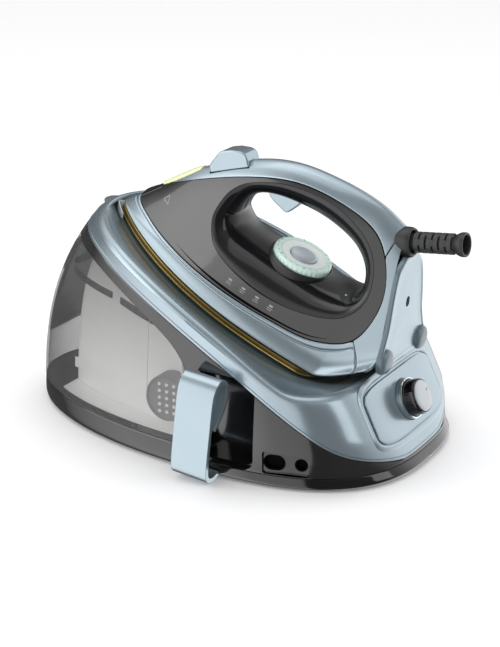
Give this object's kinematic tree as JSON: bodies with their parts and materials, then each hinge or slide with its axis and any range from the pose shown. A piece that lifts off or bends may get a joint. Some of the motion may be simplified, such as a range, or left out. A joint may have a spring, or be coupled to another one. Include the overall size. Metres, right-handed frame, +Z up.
{
  "type": "steam generator iron",
  "caption": "Hand iron with an open handle resting nose-up on a boiler base with a transparent water tank, a steam knob and a hose hook.",
  "frame": {"origin": "centre of the whole footprint on the table, hose hook and cord sleeve included", "axes": "+X towards the heel and the steam knob, -X towards the nose and the water tank, -Y towards the hose hook, +Z up"},
  "size_m": [0.3998, 0.256, 0.2426],
  "materials": {
    "shell_blue": "gloss, pale blue-grey",
    "shell_dark": "high gloss, smoke grey",
    "gloss_black": "high gloss black",
    "soft_black": "fine moulded texture",
    "rest_grey": "heat resistant, satin",
    "tank_smoke": "transparent smoke",
    "clear_silicone": "translucent",
    "sole_bronze": "polished bronze coating",
    "cast_aluminium": "as cast",
    "steel": "bright",
    "chrome_trim": "polished",
    "silver_cap": "satin silver paint",
    "rubber_black": "matt",
    "dial_mint": "translucent mint",
    "window_lit": "translucent yellow green, lit from inside",
    "brass": "turned",
    "board_green": "solder resist",
    "white_plastic": "satin",
    "hose_clear": "satin",
    "filter_grey": "satin"
  },
  "bodies": {
    "base": {"base_tray": "gloss_black", "side_shell": "shell_dark", "deck_cover": "shell_blue", "rest_plate": "rest_grey", "nose_stop": "clear_silicone", "control_panel": "shell_blue", "knob_collar": "shell_blue", "knob_ring": "chrome_trim", "control_pot": "white_plastic", "hook_bay": "gloss_black", "hose_hook": "shell_blue", "outlet_plate": "shell_dark", "tank_socket": "soft_black", "boiler": "steel", "boiler_cradle": "white_plastic", "boiler_heater": "steel", "water_pump": "white_plastic", "steam_valve": "brass", "circuit_board": "board_green", "water_pipe": "hose_clear", "steam_pipe": "hose_clear", "rubber_feet": "rubber_black", "base_screws": "steel"},
    "water_tank": {"water_tank": "tank_smoke", "tank_valve": "soft_black", "scale_filter": "filter_grey"},
    "tank_lid": {"tank_lid": "shell_dark"},
    "steam_knob": {"steam_knob": "gloss_black", "knob_cap": "silver_cap", "knob_shaft": "steel"},
    "iron": {"soleplate": "sole_bronze", "steam_chamber": "cast_aluminium", "sole_heater": "steel", "heat_shield": "soft_black", "lower_skirt": "shell_blue", "panel_near": "shell_dark", "panel_far": "shell_dark", "handle_grip": "gloss_black", "top_cover": "shell_blue", "rear_cover": "shell_blue", "nose_window": "window_lit", "dial_housing": "soft_black", "thermostat": "white_plastic", "trigger_pin": "steel", "trigger_spring": "steel", "microswitch": "soft_black", "button_spring": "steel", "heel_plate": "shell_blue", "heel_screw": "steel", "cord_holder": "shell_dark"},
    "temperature_dial": {"temperature_dial": "dial_mint", "dial_cap": "silver_cap", "dial_shaft": "steel"},
    "steam_trigger": {"steam_trigger": "shell_blue"},
    "boost_button": {"boost_button": "shell_blue"},
    "cord_sleeve": {"cord_sleeve": "rubber_black", "steam_cord": "rubber_black"}
  },
  "joints": [
    {"name": "iron_lift", "type": "slide", "parent": "base", "child": "iron", "axis": [0.4226, 0, 0.9063], "range_m": [0, 0.12]},
    {"name": "tank_slide", "type": "slide", "parent": "base", "child": "water_tank", "axis": [-1, 0, 0], "range_m": [0, 0.13]},
    {"name": "tank_lid_pull", "type": "slide", "parent": "water_tank", "child": "tank_lid", "axis": [-1, 0, 0], "range_m": [0, 0.03]},
    {"name": "steam_knob_turn", "type": "hinge", "parent": "base", "child": "steam_knob", "pos_m": [0.15072, 0.01131, 0.05], "axis": [0.9135, 0, 0.4067], "range_deg": [-135, 135]},
    {"name": "temperature_dial_turn", "type": "hinge", "parent": "iron", "child": "temperature_dial", "pos_m": [0.05254, 0.01131, 0.15553], "axis": [0.4226, 0, 0.9063], "range_deg": [-145, 145]},
    {"name": "steam_trigger_squeeze", "type": "hinge", "parent": "iron", "child": "steam_trigger", "pos_m": [0.03029, 0.01131, 0.21666], "axis": [0, -1, 0], "range_deg": [0, 6], "stiffness_Nm_per_rad": 0.4, "deforming": ["trigger_spring"]},
    {"name": "boost_button_press", "type": "slide", "parent": "iron", "child": "boost_button", "axis": [0.2501, 0, -0.9682], "range_m": [0, 0.0025], "stiffness_N_per_m": 400, "deforming": ["button_spring"]},
    {"name": "cord_swivel", "type": "hinge", "parent": "iron", "child": "cord_sleeve", "pos_m": [0.14511, 0.01131, 0.1856], "axis": [0, 1, 0], "range_deg": [-12, 12]}
  ]
}
